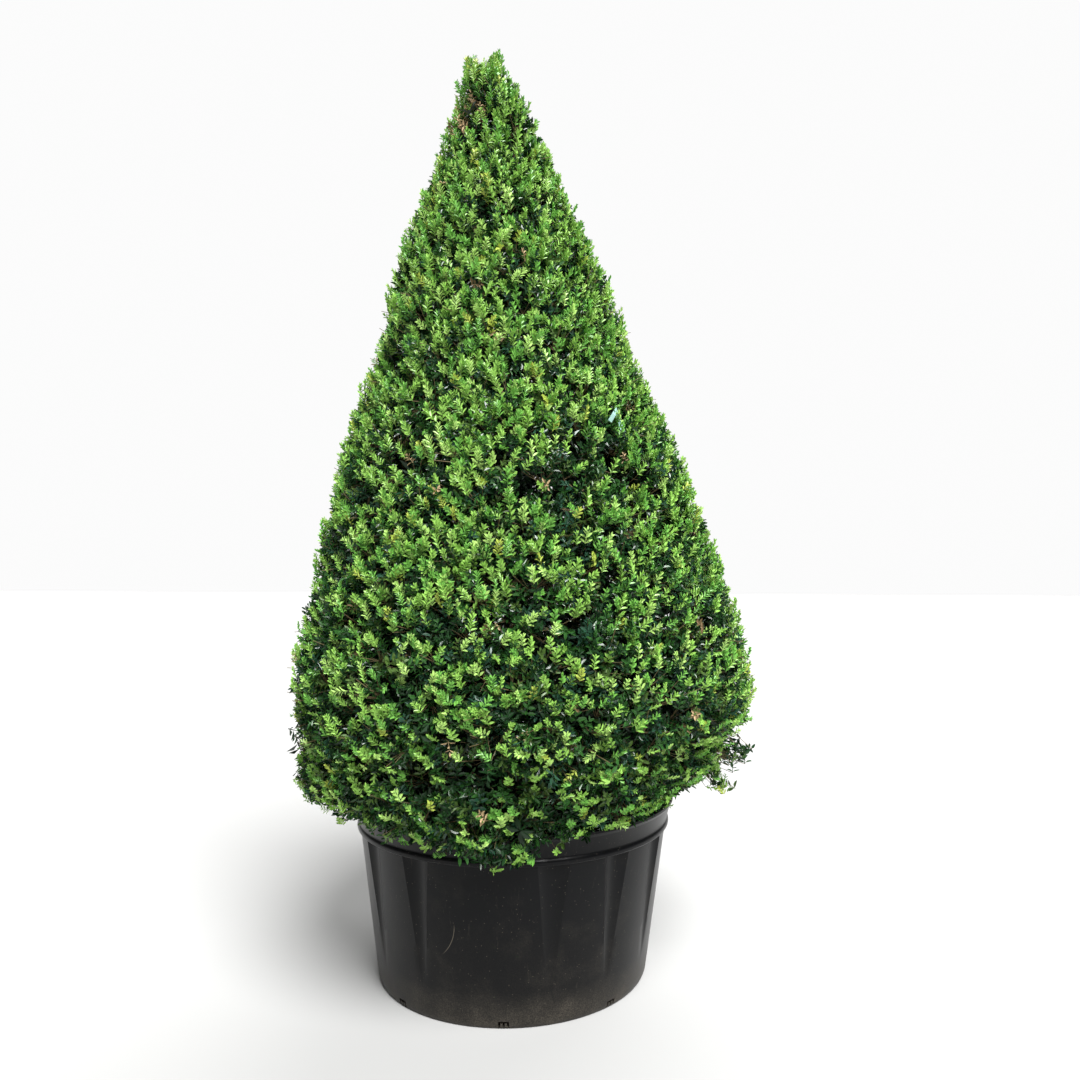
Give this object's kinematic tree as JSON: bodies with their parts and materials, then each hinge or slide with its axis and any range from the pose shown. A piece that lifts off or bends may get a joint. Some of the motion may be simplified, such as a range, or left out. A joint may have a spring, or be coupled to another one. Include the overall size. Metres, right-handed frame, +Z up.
{
  "type": "clipped boxwood cone topiary in nursery pot",
  "caption": "Large clipped boxwood cone shrub, fine-leaved and slightly leaning, in a round dark ribbed nursery pot.",
  "frame": {"origin": "centre of the pot's flat underside", "axes": "+Z up; -Y is the front; +X to the right seen from the front"},
  "size_m": [1.2733, 1.2636, 2.58],
  "materials": {
    "pot_plastic": "moulded dark charcoal plastic, scuffed and dusty",
    "soil": "dark crumbly potting soil",
    "bark": "pale grey-brown bark, finely fissured",
    "foliage": "small glossy leaves, bright new shoots over dark older leaves"
  },
  "bodies": {
    "root": {"pot": "pot_plastic", "root_ball": "soil", "main_stem": "bark", "leader": "bark", "bough_1": "bark", "bough_2": "bark", "bough_3": "bark", "bough_4": "bark", "bough_5": "bark", "bough_6": "bark", "crown_cone": "foliage", "crown_tip": "foliage", "tuft_1": "foliage", "tuft_2": "foliage", "tuft_3": "foliage", "skirt_front": "foliage", "skirt_right": "foliage", "skirt_back_right": "foliage", "skirt_back_left": "foliage", "skirt_left": "foliage", "sprig_hanging": "foliage", "sprig_spreading": "foliage"}
  },
  "joints": []
}
